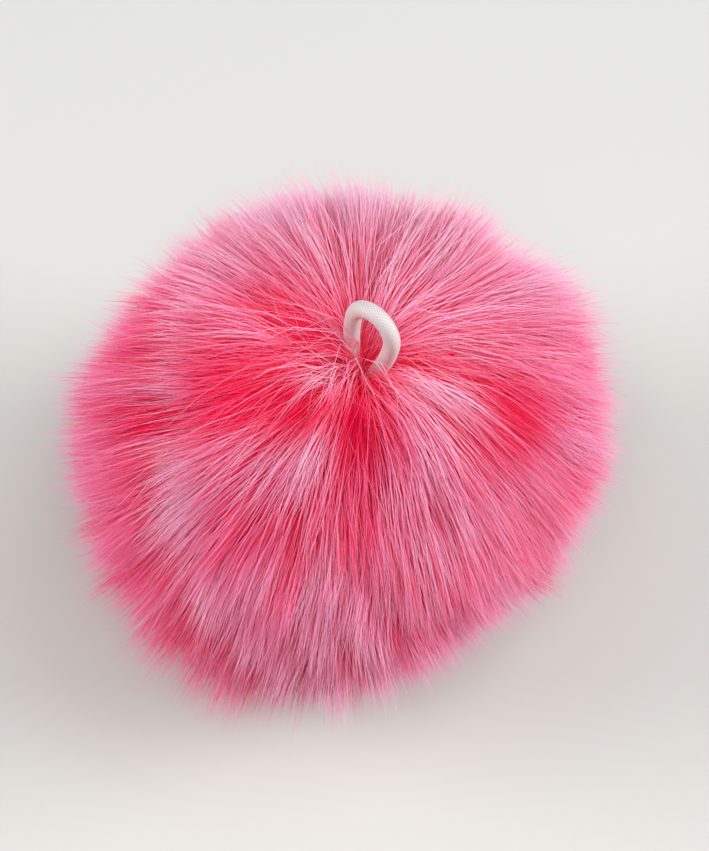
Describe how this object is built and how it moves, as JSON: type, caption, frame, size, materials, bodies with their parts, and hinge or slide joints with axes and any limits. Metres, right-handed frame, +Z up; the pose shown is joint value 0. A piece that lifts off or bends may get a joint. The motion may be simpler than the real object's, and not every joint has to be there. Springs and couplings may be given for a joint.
{
  "type": "faux fur pom pom with elastic loop",
  "caption": "Fluffy round pom pom of long-pile fur fabric with a short elastic cord loop standing in its gather, for hanging or fastening on as a trim",
  "frame": {"origin": "on the surface that the ball rests on, in the middle of the flat end of the lock right under the ball's centre", "axes": "+Z up; the gather leans 8 degrees from +Z, towards +X and a little +Y, and the elastic loop stands in line with it, its legs side by side along X, so +Y goes through its eye"},
  "size_m": [0.0962, 0.1029, 0.0882],
  "materials": {
    "fur_pile": "long soft pink pile, darker at its roots",
    "elastic_cord": "white braided cover, matt"
  },
  "bodies": {
    "root": {"fur_ball": "fur_pile", "elastic_loop": "elastic_cord"}
  },
  "joints": []
}
